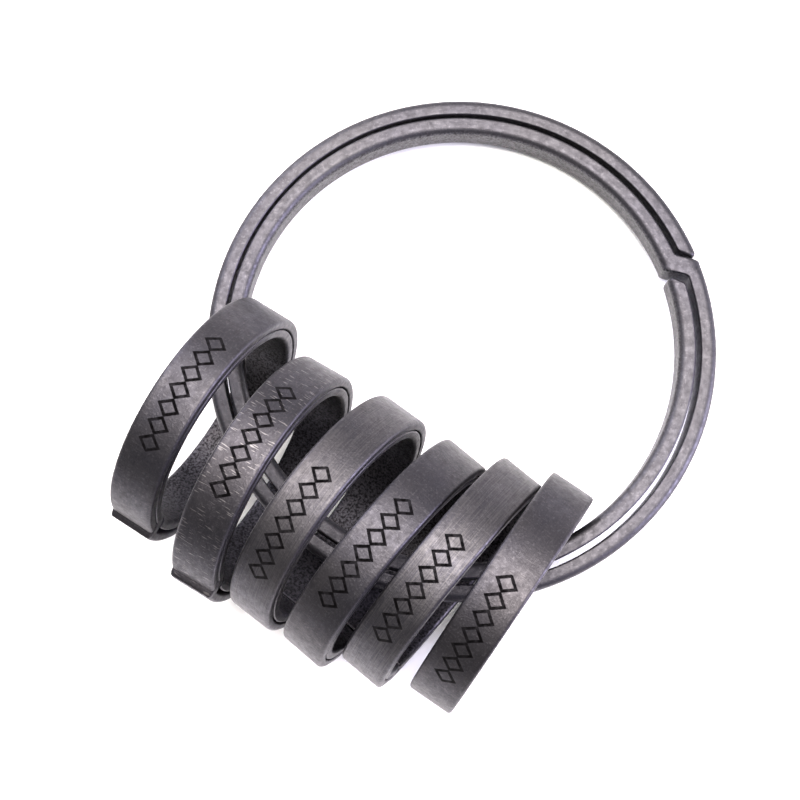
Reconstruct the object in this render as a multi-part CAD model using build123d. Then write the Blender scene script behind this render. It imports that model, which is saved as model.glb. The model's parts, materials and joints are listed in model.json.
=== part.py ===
from build123d import *
import math
import os

# Split key ring with six small key rings threaded on it, in millimetres.
#
# Every ring is one flat strip wound into two nested turns that lie side by side, the
# inner turn inside the outer one, with a thin slit between them. At one place the strip
# steps from the outer turn to the inner turn: that step is the jog. The two free ends of
# the strip butt against the jog, the outer end from one side and the inner end from the
# other. The stretch of the outer turn next to its free end is the leaf, which is prised
# outwards to let a key in, so it is a solid of its own beside the rest, the coil.
#
# +Z is up. The small rings stand on edge on the plane z = 0 like wheels, the big ring
# rests in the bottoms of their holes and touches the plane again on its far side, and
# the origin is at the middle of the whole, on that plane.

# Big ring
BIG_DIAMETER = 32.0
BIG_STRIP = 1.02           # radial thickness of one turn
BIG_HEIGHT = 2.4           # size along the ring's own axis
BIG_SLIT = 0.16            # gap between the two turns
BIG_JOG_RUN = 1.2          # length of the step along the strip
BIG_JOG_SKEW = 0.75        # how far the step's outer edge is ahead of its inner edge
BIG_EDGE = 0.22            # rounding of the long edges
BIG_LIP = 0.0              # how far the outer turn springs out where the jog leaves it
BIG_EASE = 0.1             # how far the inner turn's centre is off the ring's centre
BIG_EASE_DIRECTION = -45.0 # compass angle of the side where that widens the slit
BIG_INNER_GAP = 0.42       # gap between the inner free end and the jog
BIG_TILT = 8.5             # degrees from level
BIG_DOWN_DIRECTION = 63.0  # compass angle, from +X towards +Y, of the side that touches
BIG_JOG_DIRECTION = 20.6   # compass angle of the jog

# Small rings
SMALL_DIAMETER = 15.5
SMALL_STRIP = 0.6
SMALL_HEIGHT = 2.95        # width of the band
SMALL_SLIT = 0.08
SMALL_JOG_RUN = 0.8
SMALL_JOG_SKEW = 0.45
SMALL_EDGE = 0.2
SMALL_LIP = 0.32
SMALL_EASE = 0.0
SMALL_INNER_GAP = 0.12

# Both kinds
END_GAP = 0.12             # gap between the outer free end and the jog
LIP_SPAN = 50.0            # degrees over which the outer turn springs out
CORNER_EXTRA = 0.03        # how much rounder the plan's corners are than the long edges
LEAF_SPAN = 90.0           # degrees of the outer turn that flex when it is prised open
ROOT_GAP = 0.04            # gap where the leaf meets the coil

# Each small ring's place: centre x and y from the big ring's centre, the heading of its
# axis, how far the axis leans up from level, and the angle of its jog, measured in the
# ring's plane from its end nearer +X towards its top.
SMALL_RINGS = {
    "small_ring_1": (-15.41, -4.60, -31.4, 6.7, 164.0),
    "small_ring_2": (-11.81, -8.24, -29.7, 7.8, 157.0),
    "small_ring_3": (-7.86, -10.34, -35.7, 9.5, 202.0),
    "small_ring_4": (-4.47, -12.73, -39.4, 6.8, 214.0),
    "small_ring_5": (-1.04, -13.86, -38.9, 5.6, 196.0),
    "small_ring_6": (2.50, -15.04, -33.9, 3.7, 208.0),
}


def polar(radius, degrees):
    """A point in the ring's own plane."""
    angle = math.radians(degrees)
    return (radius * math.cos(angle), radius * math.sin(angle))


def off_centre(radius, offset, degrees):
    """Distance from the ring's centre to a circle whose own centre is off it.

    The circle's centre lies `offset` from the ring's, and `degrees` is measured from the
    direction in which it lies.
    """
    angle = math.radians(degrees)
    return offset * math.cos(angle) + math.sqrt(radius**2 - (offset * math.sin(angle)) ** 2)


class Strip:
    """The plan of one ring, its jog at angle 0, its turns running anticlockwise."""

    def __init__(self, sizes, ends, lip, ease, ease_direction):
        diameter, self.strip, self.height, slit, self.edge = sizes
        run, skew, inner_gap = ends
        self.outside = diameter / 2
        self.pitch = self.strip + slit
        per_mm = math.degrees(1 / self.outside)
        self.gap = END_GAP * per_mm
        self.inner_gap = inner_gap * per_mm
        self.root = ROOT_GAP * per_mm
        # Angles at which the step's two edges leave the outer and reach the inner turn.
        self.leave_outer_edge = (skew - run) / 2 * per_mm
        self.reach_outer_edge = (skew + run) / 2 * per_mm
        self.leave_inner_edge = (-skew - run) / 2 * per_mm
        self.reach_inner_edge = (-skew + run) / 2 * per_mm
        self.slope = run * per_mm / self.pitch
        # The lip is an arc that leaves the circle at its tangent and ends `lip` outside it.
        self.lip_start = 360 - LIP_SPAN
        reach = self.outside + lip
        ahead = reach * math.cos(math.radians(LIP_SPAN + self.leave_outer_edge))
        top = reach**2 + self.outside**2 - 2 * self.outside * ahead
        self.lip_radius = top / (2 * (self.outside - ahead))
        # The inner turn is a circle off the ring's centre, tight against the outer turn
        # on one side of the ring and eased away from it on the other.
        self.ease = ease
        self.ease_direction = ease_direction

    def outer_turn(self, degrees, depth):
        """Radius of the outer turn at a depth below its outer face."""
        if degrees <= self.lip_start:
            return self.outside - depth
        offset = self.outside - self.lip_radius
        return off_centre(self.lip_radius - depth, offset, degrees - self.lip_start)

    def inner_turn(self, degrees, depth):
        """Radius of the inner turn at a depth below its outer face."""
        radius = self.outside - self.pitch - self.ease - depth
        return off_centre(radius, -self.ease, degrees - self.ease_direction)

    def arc(self, turn, depth, start, end):
        """One circular edge of a turn, between two angles."""
        angles = (start, (start + end) / 2, end)
        return ThreePointArc(*(polar(turn(angle, depth), angle) for angle in angles))

    def coil(self):
        """Outline of all but the leaf: most of the outer turn, the jog, the inner turn."""
        root = LEAF_SPAN + self.root
        jog_top = 360 + self.leave_outer_edge
        jog_foot = 360 + self.leave_inner_edge
        turn_top = 360 + self.reach_outer_edge
        turn_foot = 360 + self.reach_inner_edge
        slit = self.pitch - self.strip
        inner_top = 720 + self.leave_inner_edge + slit * self.slope - self.inner_gap
        inner_foot = 720 + self.reach_inner_edge - self.inner_gap
        outer, inner, strip, lip = self.outer_turn, self.inner_turn, self.strip, self.lip_start
        face = [self.arc(outer, 0, root, lip), self.arc(outer, 0, lip, jog_top)]
        face.append(self.arc(inner, 0, turn_top, inner_top))
        back = [self.arc(inner, strip, inner_foot, turn_foot)]
        back.append(self.arc(outer, strip, jog_foot, lip))
        back.append(self.arc(outer, strip, lip, root))
        outline = [
            face[0],
            face[1],
            Line(face[1] @ 1, face[2] @ 0),
            face[2],
            Line(face[2] @ 1, back[0] @ 0),
            back[0],
            Line(back[0] @ 1, back[1] @ 0),
            back[1],
            back[2],
            Line(back[2] @ 1, face[0] @ 0),
        ]
        return self.solid(outline, root)

    def leaf(self):
        """Outline of the leaf, from the free end at the jog to its root."""
        tip_top = self.leave_outer_edge + self.gap
        tip_foot = tip_top + self.strip * self.slope
        face = self.arc(self.outer_turn, 0, tip_top, LEAF_SPAN)
        back = self.arc(self.outer_turn, self.strip, LEAF_SPAN, tip_foot)
        outline = [face, Line(face @ 1, back @ 0), back, Line(back @ 1, face @ 0)]
        return self.solid(outline, LEAF_SPAN)

    def solid(self, outline, root):
        """Raise an outline to the strip's height and round all edges but the root's."""
        plan = make_face(Wire(outline))
        band = extrude(plan, amount=self.height / 2, both=True)

        def at(edge, degrees):
            middle = edge.center()
            x, y = polar(1, degrees)
            return abs(middle.X * y - middle.Y * x) < 1e-3 and middle.X * x + middle.Y * y > 0

        def at_root(edge):
            return at(edge, root)

        upright = [e for e in band.edges().filter_by(Axis.Z) if not at_root(e)]
        upright = [e for e in upright if not at(e, self.lip_start)]
        band = fillet(upright, self.edge + CORNER_EXTRA)
        rims = [
            e
            for e in band.edges()
            if abs(abs(e.center().Z) - self.height / 2) < 1e-6 and not at_root(e)
        ]
        return fillet(rims, self.edge)


def big_place():
    """Where the big ring lies: tilted, its lowest point on z = 0, its jog turned to place."""
    tilt = math.radians(BIG_TILT)
    down = math.radians(BIG_DOWN_DIRECTION)
    jog = math.radians(BIG_JOG_DIRECTION)
    normal = Vector(
        math.sin(tilt) * math.cos(down), math.sin(tilt) * math.sin(down), math.cos(tilt)
    )
    height = BIG_DIAMETER / 2 * math.sin(tilt) + BIG_HEIGHT / 2 * math.cos(tilt)
    level = Vector(math.cos(jog), math.sin(jog), 0)
    along = level - normal * level.dot(normal)
    return Plane(origin=(0, 0, height), x_dir=along, z_dir=normal)


def small_place(x, y, heading, lean, jog):
    """Where a small ring stands: on edge on z = 0, its jog turned to its angle."""
    heading, lean, jog = (math.radians(angle) for angle in (heading, lean, jog))
    axis = Vector(
        math.cos(lean) * math.cos(heading), math.cos(lean) * math.sin(heading), math.sin(lean)
    )
    side = Vector(-math.sin(heading), math.cos(heading), 0)
    up = axis.cross(side)
    height = SMALL_DIAMETER / 2 * math.cos(lean) + SMALL_HEIGHT / 2 * math.sin(lean)
    return Plane(
        origin=(x, y, height), x_dir=side * math.cos(jog) + up * math.sin(jog), z_dir=-axis
    )


def make_ring(name, strip, place):
    """The two solids of one ring, in place."""
    return {
        f"{name}_coil": place * strip.coil(),
        f"{name}_leaf": place * strip.leaf(),
    }


big = Strip(
    (BIG_DIAMETER, BIG_STRIP, BIG_HEIGHT, BIG_SLIT, BIG_EDGE),
    (BIG_JOG_RUN, BIG_JOG_SKEW, BIG_INNER_GAP),
    BIG_LIP,
    BIG_EASE,
    BIG_EASE_DIRECTION - BIG_JOG_DIRECTION,
)
small = Strip(
    (SMALL_DIAMETER, SMALL_STRIP, SMALL_HEIGHT, SMALL_SLIT, SMALL_EDGE),
    (SMALL_JOG_RUN, SMALL_JOG_SKEW, SMALL_INNER_GAP),
    SMALL_LIP,
    SMALL_EASE,
    0.0,
)

nodes = make_ring("big_ring", big, big_place())
for ring_name, where in SMALL_RINGS.items():
    nodes.update(make_ring(ring_name, small, small_place(*where)))

# The origin moves from the big ring's centre to the middle of the whole, on the plane.
boxes = [node.bounding_box() for node in nodes.values()]
shift = Vector(
    -(min(box.min.X for box in boxes) + max(box.max.X for box in boxes)) / 2,
    -(min(box.min.Y for box in boxes) + max(box.max.Y for box in boxes)) / 2,
    -min(box.min.Z for box in boxes),
)
print("the big ring's centre moves by", shift.X, shift.Y, shift.Z)

os.makedirs("parts", exist_ok=True)
for node_name, node in nodes.items():
    print(f"{node_name:20s} {node.volume:8.2f} mm3")
    export_step(Pos(shift) * node, f"parts/{node_name}.step")
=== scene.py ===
# %% [markdown]
# # A split key ring with six small key rings
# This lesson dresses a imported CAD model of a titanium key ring. The model brings the true
# places and sizes; the lesson gives each strip of metal a smooth skin, a blasted finish
# and some light. Everything is in metres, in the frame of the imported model.

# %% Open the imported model
import json
import math

import bpy
import numpy as np
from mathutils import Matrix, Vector


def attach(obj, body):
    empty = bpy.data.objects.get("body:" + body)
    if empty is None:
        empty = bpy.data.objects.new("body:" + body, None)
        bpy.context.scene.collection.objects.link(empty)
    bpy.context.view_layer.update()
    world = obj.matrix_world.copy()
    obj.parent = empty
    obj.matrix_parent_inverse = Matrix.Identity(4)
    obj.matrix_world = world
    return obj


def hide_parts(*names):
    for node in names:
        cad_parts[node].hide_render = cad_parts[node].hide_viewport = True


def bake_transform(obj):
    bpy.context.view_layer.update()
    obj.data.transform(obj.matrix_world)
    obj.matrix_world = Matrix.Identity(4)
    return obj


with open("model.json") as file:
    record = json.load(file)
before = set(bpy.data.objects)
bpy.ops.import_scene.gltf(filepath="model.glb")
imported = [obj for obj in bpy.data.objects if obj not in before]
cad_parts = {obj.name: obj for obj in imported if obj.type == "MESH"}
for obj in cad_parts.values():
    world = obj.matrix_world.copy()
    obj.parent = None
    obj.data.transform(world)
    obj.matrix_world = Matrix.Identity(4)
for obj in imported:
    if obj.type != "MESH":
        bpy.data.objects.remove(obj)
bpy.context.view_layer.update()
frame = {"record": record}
MM = 0.001  # metres in a millimetre
mounts = {mount["name"]: mount for mount in frame["record"]["mounts"]}
joints = {joint["name"]: joint for joint in frame["record"]["behaviour"]["joints"]}

# %% [markdown]
# ## What one ring is
# A ring is one flat strip wound into two nested turns. Where the strip steps from the
# outer turn to the inner one it makes a small S, the jog, and both free ends butt against
# it. A torus would lose the slit, the jog and the ends, and a bevelled curve would twist
# its section at the jog, so the strip is worked out as a surface: its section, a rounded
# rectangle, is carried along the two turns.
#
# Each ring's place comes from the model. The hinge at the root of its free end, the leaf,
# stands on the outside of the outer turn, a quarter turn on from the jog. So the line from
# the ring's centre to that hinge is as long as its radius and points along its own +Y.

# %% Where each ring lies
def ring_place(centre, hinge):
    """A ring's centre, its own three axes and its outside radius, from its hinge.

    +Y runs from the centre to the hinge, +Z along the hinge's axis, and +X = Y x Z.
    """
    middle = np.array(centre)
    spoke = np.array(hinge["pos_m"]) - middle
    radius = np.linalg.norm(spoke)
    own_y = spoke / radius
    own_z = np.array(hinge["axis"])
    own_z = own_z / np.linalg.norm(own_z)
    own_x = np.cross(own_y, own_z)
    return {"centre": middle, "axes": np.array([own_x, own_y, own_z]), "radius": radius}


places = {
    "big_ring": ring_place(joints["small_ring_3_slide_round"]["pos_m"], joints["big_ring_open"])
}
for number in range(1, 7):
    name = f"small_ring_{number}"
    places[name] = ring_place(mounts[f"key_on_{name}"]["pos_m"], joints[f"{name}_open"])
print({name: round(place["radius"] / MM, 2) for name, place in places.items()})

# %% [markdown]
# ## The two strips
# The big ring's strip is a squat bar and the small rings' is a wide thin band. The
# lengths below are those of the real strips in millimetres: `thick` is across one turn,
# `wide` along the ring's axis, `slit` the gap between turns, `run` and `skew` the length
# and slant of the jog, `gap` the clearance of the inner free end. `edge` is the rounding
# of the edges that meet the hand, and `kerf` that of the edges in the slit, where the
# tumbling stones can't reach.
#
# Neither ring is quite round. On a small ring the outer turn springs out by `lip` where
# the jog leaves it, which opens the slit there. On the big ring the inner turn is off
# centre by `ease`, so the slit is widest on the side `ease_degrees` from the jog.

# %% Sizes of the strips
STRIPS = {
    "big_ring": {
        "thick": 1.02, "wide": 2.4, "slit": 0.16, "run": 1.2, "skew": 0.75, "gap": 0.42,
        "edge": 0.46, "kerf": 0.12, "lip": 0.0, "ease": 0.1, "ease_degrees": -65.6,
    },
    "small_ring": {
        "thick": 0.6, "wide": 2.95, "slit": 0.08, "run": 0.8, "skew": 0.45, "gap": 0.12,
        "edge": 0.22, "kerf": 0.1, "lip": 0.32, "ease": 0.0, "ease_degrees": 0.0,
    },
}
END_GAP = 0.12  # mm between the outer free end and the jog
LEAF_DEGREES = 90.0  # how much of the outer turn bends when it is prised open
LIP_DEGREES = 50.0  # how much of the outer turn springs out
JOG_DEGREES = 360.0  # the strip has gone round once when it comes to the jog


def strip_sizes(name):
    """The sizes of the strip that a ring is wound from."""
    return STRIPS["big_ring" if name == "big_ring" else "small_ring"]


for kind, sizes in STRIPS.items():
    print(kind, "is wound from a strip of", sizes["thick"], "by", sizes["wide"], "mm")

# %% [markdown]
# ## The section
# Walking once round the section gives two numbers at each step: where the step is across
# the strip and where it is along the ring's axis. Each corner is a quarter circle. The
# flats between corners are cut into a few steps too, because the finish has to start and
# stop part of the way along them, and it can only do that where there are points.

# %% Walk round a rounded rectangle
def section_walk(corner_steps=7, side_steps=6, face_steps=14):
    """Signs and unit-circle parts of a rounded rectangle, anticlockwise from its right side.

    A point is sign * (half size - corner radius) + corner radius * circle part, so one
    walk serves every size of section.
    """
    quarter = np.linspace(0, math.pi / 2, corner_steps)
    sign, circle = [], []
    corners = [(1, 1, 0), (-1, 1, 1), (-1, -1, 2), (1, -1, 3)]
    for index, (sx, sz, turn) in enumerate(corners):
        angle = quarter + turn * math.pi / 2
        sign.append(np.column_stack([np.full(corner_steps, sx), np.full(corner_steps, sz)]))
        circle.append(np.column_stack([np.cos(angle), np.sin(angle)]))
        next_sx, next_sz, _ = corners[(index + 1) % 4]
        steps = face_steps if turn % 2 else side_steps
        share = np.linspace(0, 1, steps + 1)[1:-1, None]
        sign.append(np.array([[sx, sz]]) * (1 - share) + np.array([[next_sx, next_sz]]) * share)
        circle.append(np.repeat(circle[-1][-1:], steps - 1, axis=0))
    return np.vstack(sign), np.vstack(circle)


SIGN, CIRCLE = section_walk()
print("the section has", len(SIGN), "points")

# %% [markdown]
# ## The path
# Angles run anticlockwise from the jog. The outer face of the strip is at the outside
# radius for the first turn and one pitch further in for the second. Between them it eases
# over the length of the jog. The inner face does the same a little earlier, which gives
# the slanted step of a sheared and pressed strip.

# %% The two faces of the strip along its path
PAST_JOG = 6.0  # degrees past the middle of the jog up to which the lip's arc runs on


def ease(x):
    """Zero below 0, one above 1, and the smooth S of 3 x^2 - 2 x^3 between."""
    x = np.clip(x, 0, 1)
    return x * x * (3 - 2 * x)


def jog_angles(sizes, radius_mm):
    """Where the step starts on each face, its length and the end gap, in degrees.

    A length along the strip, divided by the outside radius, is an angle in radians.
    """
    per_mm = math.degrees(1 / radius_mm)
    return {
        "outer": (sizes["skew"] - sizes["run"]) / 2 * per_mm,
        "inner": (-sizes["skew"] - sizes["run"]) / 2 * per_mm,
        "run": sizes["run"] * per_mm,
        "gap": END_GAP * per_mm,
        "per_mm": per_mm,
    }


def off_centre(radius, offset, degrees):
    """Distance from the ring's centre to a circle whose own centre lies `offset` off it.

    By the cosine rule: offset cos(a) + sqrt(radius^2 - (offset sin(a))^2).
    """
    angle = np.radians(degrees)
    return offset * np.cos(angle) + np.sqrt(radius**2 - (offset * np.sin(angle)) ** 2)


def outer_turn(degrees, depth, sizes, radius_mm):
    """Radius of the outer turn: a circle, then an arc that leaves it at its tangent.

    The arc is the one that ends `lip` outside the circle, where the jog leaves it.
    """
    reach = radius_mm + sizes["lip"]
    leave = jog_angles(sizes, radius_mm)["outer"]
    ahead = reach * math.cos(math.radians(LIP_DEGREES + leave))
    arc = (reach**2 + radius_mm**2 - 2 * radius_mm * ahead) / (2 * (radius_mm - ahead))
    beyond = np.clip(degrees - (JOG_DEGREES - LIP_DEGREES), 0, LIP_DEGREES + PAST_JOG)
    return off_centre(arc - depth, radius_mm - arc, beyond)


def inner_turn(degrees, depth, sizes, radius_mm):
    """Radius of the inner turn: a circle a little off the ring's centre."""
    circle = radius_mm - sizes["thick"] - sizes["slit"] - sizes["ease"] - depth
    return off_centre(circle, -sizes["ease"], degrees - sizes["ease_degrees"])


def face_radii(degrees, sizes, radius_mm):
    """Radius of the outer and the inner face at each angle, in millimetres.

    Outer turn + (inner turn - outer turn) * ease, each face at its own stretch of the jog.
    """
    jog = jog_angles(sizes, radius_mm)
    faces = []
    for depth, leave in ((0.0, jog["outer"]), (sizes["thick"], jog["inner"])):
        step = ease((degrees - JOG_DEGREES - leave) / jog["run"])
        high = outer_turn(degrees, depth, sizes, radius_mm)
        low = inner_turn(degrees, depth, sizes, radius_mm)
        faces.append(high + (low - high) * step)
    return faces


for name in ("big_ring", "small_ring_1"):
    run = jog_angles(strip_sizes(name), places[name]["radius"] / MM)["run"]
    print("the jog of", name, "takes", round(run, 2), "degrees")

# %% [markdown]
# ## The skin
# The grid has one row for each station along the strip and one column for each step round
# the section. At a free end the last rows shrink along a quarter circle, which rounds the
# end as a tumbler does. The free ends are cut on the slant of the jog, so the last
# stations lean: a point further in is further on, and the sharp corner is worn back.
#
# Even stations would need to be very close to follow the jog and the rounded ends, so
# they are a degree apart along the turns and closer only where the shape changes.

# %% Stations along the strip
STATION_DEGREES = 1.0
END_REACH, END_STATIONS = 6.0, 40
JOG_REACH, JOG_STATIONS = 8.0, 90


def stations(start, end):
    """Angles of the stations: even along the strip, closer at both ends and at the jog."""
    even = np.linspace(start, end, int((end - start) / STATION_DEGREES))
    from_end = np.linspace(0, END_REACH, END_STATIONS)
    angles = [even, start + from_end, end - from_end]
    if start < JOG_DEGREES < end:
        angles.append(JOG_DEGREES + np.linspace(-JOG_REACH, JOG_REACH, JOG_STATIONS))
    angles = np.unique(np.round(np.concatenate(angles), 4))
    return angles[(angles >= start) & (angles <= end)]


print("a leaf has", len(stations(0, LEAF_DEGREES)), "stations")

# %% [markdown]
# ## Round edges and sharper ones
# The edges that meet the hand are rounder than those in the slit. Along the outer turn
# the outer face has the round ones, and along the inner turn the face of the hole has
# them, so the two change places where the strip passes through the jog. The section is
# worked out at every station, which a single extruded profile couldn't do.

# %% The section at each station
CHANGE_START, CHANGE_DEGREES = 358.0, 4.0  # where the round edges change places
LEAST_BEND = 0.02  # mm, the smallest corner that a shrunk section keeps
END_ROUND = 0.27  # rounding of a free end, as a share of the strip's thickness


def end_shrink(distance_mm, corner):
    """How much the section shrinks near a free end: corner - sqrt(corner^2 - reach^2).

    `reach` is how far into the rounding a station lies, and 0 beyond it.
    """
    reach = np.clip(corner - distance_mm, 0, corner)
    return corner - np.sqrt(np.maximum(corner**2 - reach**2, 0))


def section_at(angle, shrink, sizes):
    """Where every step of the section is at every station, across the strip and along it.

    Place = sign * (half size - shrink - corner radius) + corner radius * circle part. The
    radius is one value at the outer face, another at the inner face, and a blend between.
    """
    half_thick, half_wide = sizes["thick"] / 2, sizes["wide"] / 2
    changed = ease((angle - CHANGE_START) / CHANGE_DEGREES)[:, None]
    outer_edge = sizes["edge"] + (sizes["kerf"] - sizes["edge"]) * changed
    inner_edge = sizes["edge"] + sizes["kerf"] - outer_edge
    outer_bend = np.maximum(outer_edge - shrink, LEAST_BEND)
    inner_bend = np.maximum(inner_edge - shrink, LEAST_BEND)
    outward = (SIGN[:, 0] + 1) / 2
    bend = inner_bend + (outer_bend - inner_bend) * outward
    outer_reach = half_thick - shrink - outer_bend
    inner_reach = half_thick - shrink - inner_bend
    across = outer_reach * outward - inner_reach * (1 - outward) + bend * CIRCLE[:, 0]
    along = SIGN[:, 1] * (half_wide - shrink - bend) + bend * CIRCLE[:, 1]
    return across, along


across, _ = section_at(np.array([180.0]), 0.0, STRIPS["small_ring"])
print("half a turn on, a small ring's strip is", round(float(np.ptp(across)), 2), "mm thick")

# %% [markdown]
# ## Along the two turns
# Each point of the section is set between the inner and the outer face of the strip, so
# the section follows both faces through the jog and needs no frame of its own to turn in.

# %% Carry the section along the path
WORN_CORNER = 0.42  # how far a sharp corner is worn back, as a share of the thickness
LEAN_MM = 2.5  # length from a free end over which the stations lean


def end_slant(fraction, free_start, sizes, jog):
    """How far each point of a leaning station is ahead of the upright one, in degrees.

    It is the slant of the jog times the distance from the outer face. The sharp corner,
    the outer one of a leaf or the inner one of a coil, is worn back by a square law.
    """
    pitch = sizes["thick"] + sizes["slit"]
    slant = jog["run"] / pitch * sizes["thick"] * (1 - fraction)
    back = 1 if free_start else -1
    sharp = np.clip(back * (2 * fraction - 1), 0, 1)
    return slant + back * WORN_CORNER * sizes["thick"] * jog["per_mm"] * sharp**2


def strip_grid(name, start, end, free_start):
    """Points of a stretch of strip in the ring's own axes, with their angles and places.

    radius = inner face + fraction * (outer face - inner face), angle = station + slant.
    A stretch has one free end: its start, as a leaf has, or its end, as a coil has.
    """
    sizes = strip_sizes(name)
    radius_mm = places[name]["radius"] / MM
    jog = jog_angles(sizes, radius_mm)
    angle = stations(start, end)
    from_free = (angle - start if free_start else end - angle) / jog["per_mm"]
    shrink = end_shrink(from_free, sizes["thick"] * END_ROUND)[:, None]
    across, along = section_at(angle, shrink, sizes)
    fraction = across / sizes["thick"] + 0.5
    lean = 1 - ease(from_free / LEAN_MM)[:, None]
    degrees = angle[:, None] + end_slant(fraction, free_start, sizes, jog) * lean
    outer, inner = face_radii(degrees, sizes, radius_mm)
    radial = inner + fraction * (outer - inner)
    turn = np.radians(degrees)
    points = np.stack([radial * np.cos(turn), radial * np.sin(turn), along], axis=-1)
    return points * MM, degrees, along, fraction


def to_model(points, place):
    """From a ring's own axes to the model's frame: the centre plus each axis's share."""
    return place["centre"] + points @ place["axes"]


print("a leaf's grid is", strip_grid("big_ring", 0, LEAF_DEGREES, True)[0].shape)

# %% [markdown]
# ## From a grid to a mesh
# The grid closes round the section, so its last column joins its first. Each end gets a
# cap with points of its own: then the smooth shading of the sides isn't pulled over by
# the cap, and the leaf and the rest of the ring meet without a visible seam.
#
# Three things are kept for the finish: a UV map in millimetres, measured from the ring's
# highest point and its middle line, an attribute that is 1 on the outside face, where
# the mark is etched, and one that is 1 on the face of the hole, where dark pits are drawn
# that are partly painted shade.

# %% Build a mesh from a grid
def grid_mesh(name, points, map_mm, faces):
    """A closed tube over the grid, capped at both ends, faces outwards.

    Each point, its neighbour round the section and the two beyond them make one face.
    """
    rows, columns, _ = points.shape
    index = np.arange(rows * columns).reshape(rows, columns)
    here, beside = index[:-1], np.roll(index[:-1], -1, axis=1)
    beyond, beside_beyond = index[1:], np.roll(index[1:], -1, axis=1)
    quads = np.stack([here, beyond, beside_beyond, beside], axis=-1).reshape(-1, 4)
    first = rows * columns + np.arange(columns)
    last = first + columns
    vertices = np.concatenate([points.reshape(-1, 3), points[0], points[-1]])
    uv = np.concatenate([map_mm.reshape(-1, 2), map_mm[0], map_mm[-1]])
    corners = np.concatenate([quads.reshape(-1), first, last[::-1]])
    totals = np.concatenate([np.full(len(quads), 4), [columns, columns]])
    starts = np.concatenate([[0], np.cumsum(totals)[:-1]])
    mesh = bpy.data.meshes.new(name)
    mesh.vertices.add(len(vertices))
    mesh.vertices.foreach_set("co", vertices.reshape(-1))
    mesh.loops.add(len(corners))
    mesh.loops.foreach_set("vertex_index", corners.astype(np.int32))
    mesh.polygons.add(len(totals))
    mesh.polygons.foreach_set("loop_start", starts.astype(np.int32))
    mesh.polygons.foreach_set("loop_total", totals.astype(np.int32))
    mesh.polygons.foreach_set("use_smooth", np.ones(len(totals), bool))
    mesh.update(calc_edges=True)
    layer = mesh.uv_layers.new(name="strip_mm")
    layer.data.foreach_set("uv", uv[corners].reshape(-1).astype(np.float32))
    for label, share in faces.items():
        value = np.concatenate([share.reshape(-1), np.zeros(2 * columns)])
        attribute = mesh.attributes.new(label, "FLOAT", "POINT")
        attribute.data.foreach_set("value", value.astype(np.float32))
    mesh.validate()
    return mesh


# %% [markdown]
# ## One helper for every node
# A material is a tree of nodes, and each node is added in the same way: make it, choose
# its settings, and give its sockets constants or links. One function does all that.
# Colours are written as sRGB hex, as a colour chart gives them, and turned linear in one
# place, because a shader works in linear light.

# %% Helpers for materials
def linear(hex_colour):
    """An sRGB hex colour as linear RGBA, by the two-part curve of the sRGB standard."""
    channels = [int(hex_colour[i:i + 2], 16) / 255 for i in (1, 3, 5)]
    return [c / 12.92 if c <= 0.04045 else ((c + 0.055) / 1.055) ** 2.4 for c in channels] + [1]


def add_node(tree, kind, inputs=(), **settings):
    """Add a shader node, choose its settings and feed its sockets.

    A list feeds the sockets that the node shows, in their order, and a dictionary feeds
    them by name. An input takes a constant, an output, or a node for its first output.
    """
    node = tree.nodes.new("ShaderNode" + kind)
    for setting, value in settings.items():
        setattr(node, setting, value)
    shown = [socket for socket in node.inputs if socket.enabled]
    named = isinstance(inputs, dict)
    pairs = [(node.inputs[key], inputs[key]) for key in inputs] if named else zip(shown, inputs)
    for socket, value in pairs:
        if isinstance(value, bpy.types.Node):
            value = next(output for output in value.outputs if output.enabled)
        if isinstance(value, bpy.types.NodeSocket):
            tree.links.new(value, socket)
        else:
            socket.default_value = value
    return node


print("titanium grey in linear light:", [round(channel, 3) for channel in linear("#403f45")])

# %% [markdown]
# ## Blasted titanium
# The strips are titanium alloy, bead-blasted and then tumbled. Blasting pits the skin
# with dimples about a tenth of a millimetre across, so it is grey and soft and sparkles
# in small grains. Tumbling polishes the edges a little, and the bands keep short
# scratches from it. Titanium left bare in air has a faint warm to violet cast. Dimples of
# that size hardly show in the render, so the grains are drawn at seven to the millimetre.
# On the face of the hole the grains are drawn as dark pits. They are partly the blasting's
# texture and partly painted shade, which darkens the inside of each ring where shadow falls.
#
# Noise on Object coordinates makes the grains, so they are the same size on every piece
# and don't stretch. The scratches follow the band, so they are noise on its own map in
# millimetres, squeezed one way.

# %% Sizes and colours of the blasting
GRAINS = (7.0, 2.0)  # dimples to the millimetre, and how much finer detail the noise has
MOTTLES = (2.6, 3.0)  # patches that were blasted a little more or less
CLOUDS = (0.18, 2.0)  # the slow drift of the metal's own cast
WEAR = {  # streaks: number to the millimetre round and across, where one begins and is full
    "scratch": {"per_mm": (11.0, 1.3, 1.0), "range": (0.63, 0.69), "colour": "#7c797a"},
    "brush": {"per_mm": (0.5, 14.0, 1.0), "range": (0.4, 0.7), "colour": "#5d5b5c"},
}
# The last colour darkens the pits on the face of the hole; it is partly painted shade for the
# inside of each ring.
HOLLOW, SPARKLE, PIT_AND_HOLE_SHADE = "#2c2a2c", "#77757a", "#0b0b0c"
ROUGHNESS = (0.44, 0.58)  # of the smoothest and of the roughest patches
GRAIN_DEPTH_MM = 0.03
MARK_ROUGHER = 0.25
grain_mm, patch_mm = 1 / GRAINS[0], 1 / MOTTLES[0]
print("a dimple is", round(grain_mm, 2), "mm across and a patch", round(patch_mm, 2), "mm")
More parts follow.
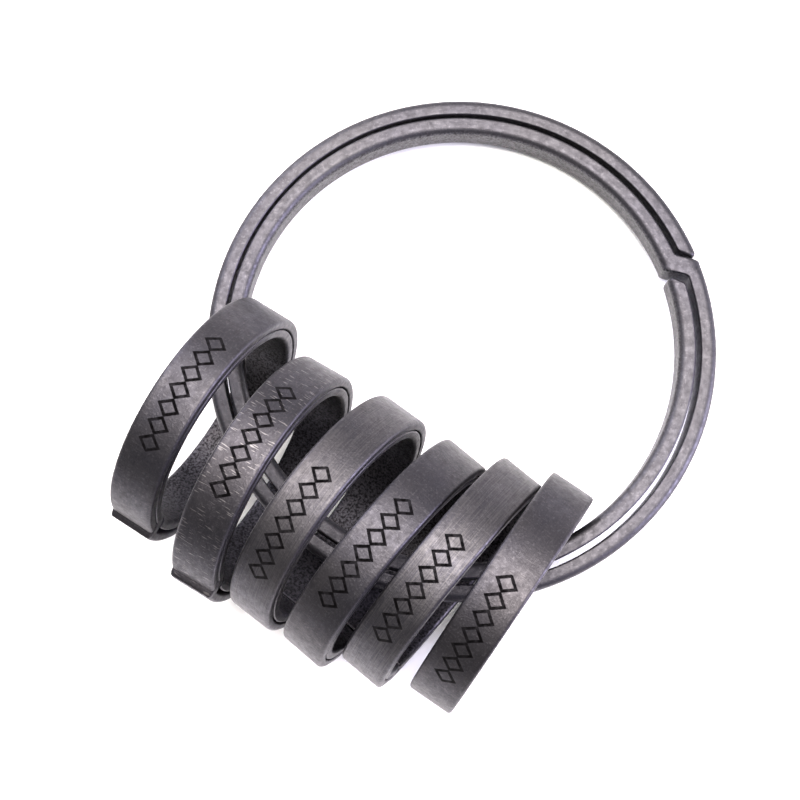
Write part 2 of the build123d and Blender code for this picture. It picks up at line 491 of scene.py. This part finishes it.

# %% [markdown]
# ## Colour upon colour
# The skin is built up as it was made: the cast of the bare metal, the hollows and bright
# grains that blasting leaves, dark pits in the hole that are partly painted shade, and then
# what wear has done.

# %% The blasted skin
def blasted_colour(tree, noises, pitted_and_shaded, colour, warm):
    """The metal's colour: its cast, darker in hollows, lighter on grains, dark in pits in the
    hole, which are partly painted shade.

    Each step mixes one more colour in, by a share that a noise gives between two levels.
    """
    grains, mottles, clouds = noises
    cast = add_node(tree, "MapRange", [clouds, 0.35, 0.65, 0, 1])
    hollow = add_node(tree, "MapRange", [mottles, 0.3, 0.7, 0, 0.4])
    sparkle = add_node(tree, "MapRange", [grains, 0.56, 0.72, 0, 0.22])
    # Dark pits on the face of the hole only: partly blasted texture, partly painted shade.
    pit_and_shade = add_node(tree, "MapRange", [grains, 0.40, 0.52, 0.8, 0])
    pit_and_shade = add_node(tree, "Math", [pit_and_shade, pitted_and_shaded], operation="MULTIPLY")
    shade = add_node(tree, "Mix", [cast, linear(colour), linear(warm)], data_type="RGBA")
    for share, tone in ((hollow, HOLLOW), (sparkle, SPARKLE), (pit_and_shade, PIT_AND_HOLE_SHADE)):
        shade = add_node(tree, "Mix", [share, shade, linear(tone)], data_type="RGBA")
    return shade


def worn_colour(tree, shade, strip_mm, outside, amounts):
    """Scratches and brushing over a colour: noise on the band's own map, squeezed one way."""
    for streak, amount in amounts.items():
        place = add_node(
            tree, "Mapping", {"Vector": strip_mm, "Scale": WEAR[streak]["per_mm"]}
        )
        line = add_node(tree, "TexNoise", {"Vector": place, "Scale": 1.0, "Detail": 1.0})
        share = add_node(tree, "MapRange", [line, *WEAR[streak]["range"], 0, amount])
        share = add_node(tree, "Math", [share, outside], operation="MULTIPLY")
        tone = linear(WEAR[streak]["colour"])
        shade = add_node(tree, "Mix", [share, shade, tone], data_type="RGBA")
    return shade


# %% [markdown]
# ## The mark
# The mark on each band is a laser etching, which is nearly black and rougher than the
# metal round it. Here it is a plain row of lozenges. A lozenge is where |x| / a + |y| / b
# stays the same, so its outline is where that sum is close to one level, and folding the
# distance along the band back and forth repeats it.

# %% The etched row of lozenges
LOZENGES = 7
LOZENGE_STEP = 1.16  # mm from one to the next
LOZENGE_HEIGHT = 0.72  # mm from its middle to where its sides would meet at level 1
LOZENGE_LEVEL = 0.85  # the middle of its line, so that the corners of neighbours touch
LINE, LINE_EDGE = 0.16, 0.08  # half the line's width and the width of its soft edge, in levels
ROW_EDGE = 0.02  # mm over which the row's two ends fade
ETCHED = "#0c0b0c"


def etched_mark(tree, strip_mm, outside, centre_mm):
    """1 on the outlines of a row of lozenges on the outside face, 0 elsewhere.

    The line is where | |x| / a + |y| / b - level | is small, with x folded at each step.
    """
    where = add_node(tree, "SeparateXYZ", [strip_mm])
    shifted = add_node(tree, "Math", [where.outputs["X"], centre_mm], operation="SUBTRACT")
    folded = add_node(tree, "Math", [shifted, LOZENGE_STEP / 2], operation="PINGPONG")
    height = add_node(tree, "Math", [where.outputs["Y"]], operation="ABSOLUTE")
    level_x = add_node(tree, "Math", [folded, LOZENGE_STEP / 2], operation="DIVIDE")
    level_y = add_node(tree, "Math", [height, LOZENGE_HEIGHT], operation="DIVIDE")
    level = add_node(tree, "Math", [level_x, level_y], operation="ADD")
    off_line = add_node(tree, "Math", [level, LOZENGE_LEVEL], operation="SUBTRACT")
    off_line = add_node(tree, "Math", [off_line], operation="ABSOLUTE")
    in_line = add_node(tree, "MapRange", [off_line, LINE, LINE + LINE_EDGE, 1, 0])
    off_middle = add_node(tree, "Math", [shifted], operation="ABSOLUTE")
    half_row = LOZENGE_STEP * LOZENGES / 2
    in_row = add_node(tree, "MapRange", [off_middle, half_row - ROW_EDGE, half_row, 1, 0])
    inside = add_node(tree, "Math", [in_line, in_row], operation="MULTIPLY")
    return add_node(tree, "Math", [inside, outside], operation="MULTIPLY")


print("the row is", round(LOZENGE_STEP * LOZENGES, 2), "mm long")

# %% [markdown]
# ## The whole finish
# The grains tilt the surface a little as well as colouring it, so a bump breaks up the
# shine. Blasted metal is rough, and an etched line is rougher still.

# %% Bare blasted titanium
def titanium(name, colour, warm, scratches, brushing, mark_centre=None):
    """Bare blasted titanium, with tumbling scratches, brushing and an optional mark.

    It is all metal, rough from the blasting, a little rougher in patches and in the mark.
    """
    material = bpy.data.materials.new(name)
    material.use_nodes = True
    tree = material.node_tree
    tree.nodes.clear()
    place = add_node(tree, "TexCoord").outputs["Object"]
    strip_mm = add_node(tree, "UVMap", uv_map="strip_mm")
    # The second attribute marks the face of the hole, where the dark pits paint in shade.
    outside, pitted_and_shaded = (
        add_node(tree, "Attribute", attribute_name=label).outputs["Fac"]
        for label in ("outside_face", "hole_face")
    )
    noises = [
        add_node(
            tree, "TexNoise",
            {"Vector": place, "Scale": per_mm / MM, "Detail": detail, "Roughness": 0.6},
        )
        for per_mm, detail in (GRAINS, MOTTLES, CLOUDS)
    ]
    grains, mottles, _ = noises
    shade = blasted_colour(tree, noises, pitted_and_shaded, colour, warm)
    amounts = {"scratch": scratches, "brush": brushing}
    shade = worn_colour(tree, shade, strip_mm, outside, amounts)
    rough = add_node(tree, "MapRange", [mottles, 0.3, 0.7, *ROUGHNESS])
    if mark_centre is not None:
        mark = etched_mark(tree, strip_mm, outside, mark_centre)
        burnt = add_node(tree, "MapRange", [mottles, 0.35, 0.6, 0.8, 1.0])
        burnt = add_node(tree, "Math", [mark, burnt], operation="MULTIPLY")
        shade = add_node(tree, "Mix", [burnt, shade, linear(ETCHED)], data_type="RGBA")
        rough = add_node(tree, "Math", [mark, MARK_ROUGHER, rough], operation="MULTIPLY_ADD")
    depth = GRAIN_DEPTH_MM * MM
    bump = add_node(tree, "Bump", {"Strength": 0.5, "Distance": depth, "Height": grains})
    shader = add_node(
        tree, "BsdfPrincipled",
        {"Base Color": shade, "Metallic": 1.0, "Roughness": rough, "Normal": bump},
    )
    add_node(tree, "OutputMaterial", [shader])
    return material


# %% [markdown]
# ## Six bands and a ring
# All rings left the same tumbler but they wear differently: the second has bright short
# dashes across its band, the third and the fifth a brushed shine along it. The mark sits
# a little to one side of each band's highest point, and the big ring has none.
# `top_degrees` is the angle from the jog to that highest point, found from the ring's own
# axes.
#
# The outside face and the face of the hole are told apart by how far a point is across
# the strip and by which turn it is on, because each face lies in the slit on the other.

# %% How each ring is finished
FACE_START, FACE_EDGE = 0.9, 0.08  # where a face begins across the strip, and its soft edge
OUTSIDE_ENDS, HOLE_STARTS = 362.0, 358.0  # degrees, just past and just before mid-jog
# For each ring: its colour, its warmer cast, how strong its scratches and its brushing
# are, and how far the mark's middle is from the highest point in millimetres.
FINISHES = {
    "big_ring": ("#47464c", "#4b4a4e", 0.0, 0.0, None),
    "small_ring_1": ("#403f45", "#464447", 0.10, 0.10, 1.15),
    "small_ring_2": ("#3e3d43", "#444246", 0.80, 0.10, 2.35),
    "small_ring_3": ("#434248", "#4a484b", 0.10, 0.45, -1.3),
    "small_ring_4": ("#3e3d43", "#454346", 0.10, 0.10, -0.1),
    "small_ring_5": ("#434248", "#49474a", 0.15, 0.55, -1.15),
    "small_ring_6": ("#3d3c42", "#434144", 0.10, 0.10, -2.4),
}


def top_degrees(place):
    """Angle from a ring's jog to its highest point, where its own X and Y climb together."""
    return math.degrees(math.atan2(place["axes"][1][2], place["axes"][0][2]))


def strip_piece(name, part, start, end, material):
    """One stretch of a ring's strip as an object.

    Its map's first number is angle * radius, its second the place along the ring's axis.
    """
    place = places[name]
    points, degrees, along, fraction = strip_grid(name, start, end, part == "leaf")
    from_top = (degrees - top_degrees(place) + 180) % 360 - 180
    map_mm = np.stack([np.radians(from_top) * place["radius"] / MM, along], axis=-1)
    in_outer, in_inner = fraction - FACE_START, 1 - FACE_START - fraction
    faces = {
        "outside_face": ease(in_outer / FACE_EDGE) * (degrees < OUTSIDE_ENDS),
        "hole_face": ease(in_inner / FACE_EDGE) * (degrees > HOLE_STARTS),
    }
    mesh = grid_mesh(f"{name}_{part}_strip", to_model(points, place), map_mm, faces)
    mesh.materials.append(material)
    piece = bpy.data.objects.new(f"{name}_{part}_strip", mesh)
    bpy.context.collection.objects.link(piece)
    return piece


print({name: round(top_degrees(place), 1) for name, place in places.items()})

# %% [markdown]
# ## Winding the rings
# The coil runs from the root of the leaf, once round, through the jog and round again to
# the inner free end. The leaf runs from the outer free end to its root. On the real ring
# there is no joint there: the strip bends. Here the coil is attached to the ring's body,
# and the leaf is left as a piece of its own.

# %% Where each leaf bends and what each node is made of
bodies = {
    node: body
    for body, members in frame["record"]["behaviour"]["bodies"].items()
    for node in members
}


def stretches(name):
    """Angles from which to which the coil and the leaf of a ring run.

    The coil ends two turns on from the outer free end, where the inner one meets the jog.
    """
    sizes = strip_sizes(name)
    jog = jog_angles(sizes, places[name]["radius"] / MM)
    slit_share = sizes["slit"] / (sizes["thick"] + sizes["slit"])
    inner_end = 2 * JOG_DEGREES + jog["inner"] + slit_share * jog["run"]
    inner_end = inner_end - sizes["gap"] * jog["per_mm"]
    return {"coil": (LEAF_DEGREES, inner_end), "leaf": (jog["outer"] + jog["gap"], LEAF_DEGREES)}


# %% [markdown]
# ## One loop for seven rings
# Coil and leaf share one material, so that no edge shows between them. Each takes the
# place of its plain node, which is hidden.

# %% Make every ring
for name in places:
    material = titanium(f"titanium_{name}", *FINISHES[name])
    coil, leaf = (
        strip_piece(name, part, *reach, material) for part, reach in stretches(name).items()
    )
    for piece, node in ((coil, f"{name}_coil"), (leaf, f"{name}_leaf")):
        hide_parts(node)
    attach(coil, bodies[f"{name}_coil"])
    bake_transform(leaf)
    print(name, "coil", len(coil.data.polygons), "faces, leaf", len(leaf.data.polygons))

# %% [markdown]
# ## The table it lies on
# The rings lie on a white sheet, which throws light back up at their undersides. A little
# light of the sheet's own keeps the shadows between the rings and the sheet faint, as a
# light table does.

# %% The sheet
HALF_SHEET = 0.6  # metres from its middle to its side
SHEET_GLOW = 0.12


def plain_sheet():
    """A white sheet with a faint glow: one square of matt paper at z = 0."""
    material = bpy.data.materials.new("white_sheet")
    material.use_nodes = True
    shader = material.node_tree.nodes["Principled BSDF"]
    shader.inputs["Base Color"].default_value = linear("#f4f4f5")
    shader.inputs["Roughness"].default_value = 0.9
    shader.inputs["Specular IOR Level"].default_value = 0.1
    shader.inputs["Emission Color"].default_value = linear("#ffffff")
    shader.inputs["Emission Strength"].default_value = SHEET_GLOW
    mesh = bpy.data.meshes.new("sheet")
    signs = ((-1, -1), (1, -1), (1, 1), (-1, 1))
    corners = [(x * HALF_SHEET, y * HALF_SHEET, 0) for x, y in signs]
    mesh.from_pydata(corners, [], [(0, 1, 2, 3)])
    mesh.materials.append(material)
    sheet = bpy.data.objects.new("sheet", mesh)
    bpy.context.collection.objects.link(sheet)
    return sheet


plain_sheet()
print("the sheet is", 2 * HALF_SHEET, "m square")

# %% [markdown]
# ## Light
# Metal shows what surrounds it, so the lights are large panels. A warm one overhead makes
# the soft shine along the tops of the bands, a cool one low on the right picks out their
# right-hand edges, and a weaker one at the left behind lights the far rims. None stands at
# the lower left, which leaves that end of each band darker. The grey world stands in for
# the walls of the room.

# %% The panels
AIM = (0, 0, 0.01)  # metres, a point among the rings
PANELS = {  # place and size in metres, power in watts and colour
    "overhead": ((0.03, 0.08, 0.32), (0.26, 0.20), 3.4, "#fff8f2"),
    "right_low": ((0.26, -0.06, 0.10), (0.10, 0.10), 1.6, "#e9e4ff"),
    "left_back": ((-0.16, 0.22, 0.16), (0.10, 0.10), 1.0, "#f6f4ff"),
}
WORLD_COLOUR, WORLD_STRENGTH = "#e4e4e8", 0.22


def panel(name, position, size, power, colour):
    """A flat light that faces the rings."""
    light = bpy.data.lights.new(name, "AREA")
    light.shape = "RECTANGLE"
    light.size, light.size_y = size
    light.energy = power
    light.color = linear(colour)[:3]
    lamp = bpy.data.objects.new(name, light)
    lamp.location = position
    lamp.rotation_euler = (Vector(AIM) - Vector(position)).to_track_quat("-Z", "Y").to_euler()
    bpy.context.collection.objects.link(lamp)


for name, choices in PANELS.items():
    panel(name, *choices)
world = bpy.data.worlds.new("studio")
world.use_nodes = True
background = world.node_tree.nodes["Background"]
background.inputs["Color"].default_value = linear(WORLD_COLOUR)
background.inputs["Strength"].default_value = WORLD_STRENGTH
bpy.context.scene.world = world
print(len(PANELS), "panels, together", sum(choices[2] for choices in PANELS.values()), "W")

# %% [markdown]
# ## The camera
# It hangs about a hand's breadth above the rings and looks nearly straight down. The
# Standard view has no film curve, so the sheet stays white.

# %% Hang the camera
CAMERA_MM = (4.12, -3.37, 100.1)
CAMERA_TILT = (1.86, 3.32, 0)  # degrees about X and Y
camera_data = bpy.data.cameras.new("camera")
camera_data.sensor_width = 36.0
camera_data.lens = 68.7
camera_data.clip_start = 0.005
camera = bpy.data.objects.new("camera", camera_data)
camera.rotation_mode = "XYZ"
camera.location = [distance * MM for distance in CAMERA_MM]
camera.rotation_euler = [math.radians(angle) for angle in CAMERA_TILT]
bpy.context.collection.objects.link(camera)
bpy.context.scene.camera = camera
bpy.context.scene.view_settings.view_transform = "Standard"
print("the camera hangs", CAMERA_MM[2], "mm up, with a lens of", round(camera_data.lens, 1), "mm")
